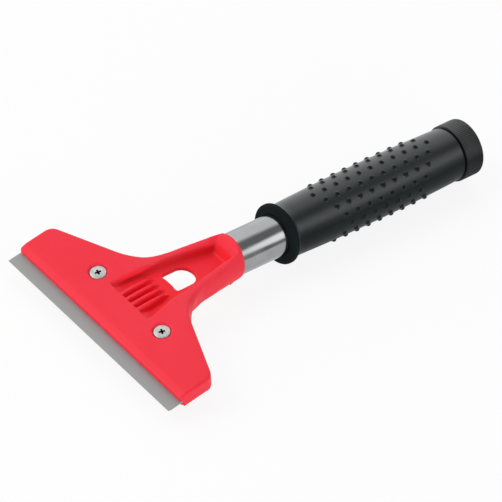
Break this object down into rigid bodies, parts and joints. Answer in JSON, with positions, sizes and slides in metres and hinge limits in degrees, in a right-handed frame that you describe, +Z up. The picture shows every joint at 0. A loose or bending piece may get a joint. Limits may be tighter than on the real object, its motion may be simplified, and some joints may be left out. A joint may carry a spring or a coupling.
{
  "type": "hand scraper",
  "caption": "Hand scraper: wide thin steel blade clamped in a pitched plastic head with a hanging window, on a steel tube handle with a nubbed rubber grip and end cap.",
  "frame": {"origin": "under the middle of the part's box, on the table that it lies on with the handle level", "axes": "+Y along the handle from the blade to the end cap, +X across the blade, +Z up, out of the head's front side"},
  "size_m": [0.1008, 0.1962, 0.0256],
  "materials": {
    "head_plastic": "satin moulded red plastic",
    "blade_steel": "plain grey ground spring steel",
    "zinc_steel": "bright zinc plate",
    "tube_chrome": "bright plated tube",
    "grip_rubber": "matte black rubber with round nubs",
    "cap_plastic": "matte dark plastic"
  },
  "bodies": {
    "handle": {"head_body": "head_plastic", "handle_tube": "tube_chrome", "grip_sleeve": "grip_rubber", "end_cap": "cap_plastic"},
    "clamp": {"clamp_plate": "head_plastic", "clamp_nut_left": "zinc_steel", "clamp_nut_right": "zinc_steel"},
    "left_screw": {"clamp_screw_left": "zinc_steel"},
    "right_screw": {"clamp_screw_right": "zinc_steel"},
    "blade_strip": {"blade": "blade_steel"}
  },
  "joints": [
    {"name": "clamp_plate_open", "type": "slide", "parent": "handle", "child": "clamp", "axis": [0, 0.23, -0.9732], "range_m": [0, 0.00149]},
    {"name": "clamp_screw_left_turn", "type": "hinge", "parent": "handle", "child": "left_screw", "pos_m": [-0.0199, -0.07729, 0.01061], "axis": [0, -0.23, 0.9732], "range_deg": [0, 765]},
    {"name": "clamp_screw_right_turn", "type": "hinge", "parent": "handle", "child": "right_screw", "pos_m": [0.0199, -0.07729, 0.01061], "axis": [0, -0.23, 0.9732], "range_deg": [0, 765]},
    {"name": "blade_slide", "type": "slide", "parent": "handle", "child": "blade_strip", "axis": [0, -0.9732, -0.23], "range_m": [0, 0.012]}
  ],
  "couplings": [
    {"joint": "clamp_screw_left_turn", "follows": "clamp_plate_open", "rad_per_m": 8975},
    {"joint": "clamp_screw_right_turn", "follows": "clamp_plate_open", "rad_per_m": 8975}
  ]
}
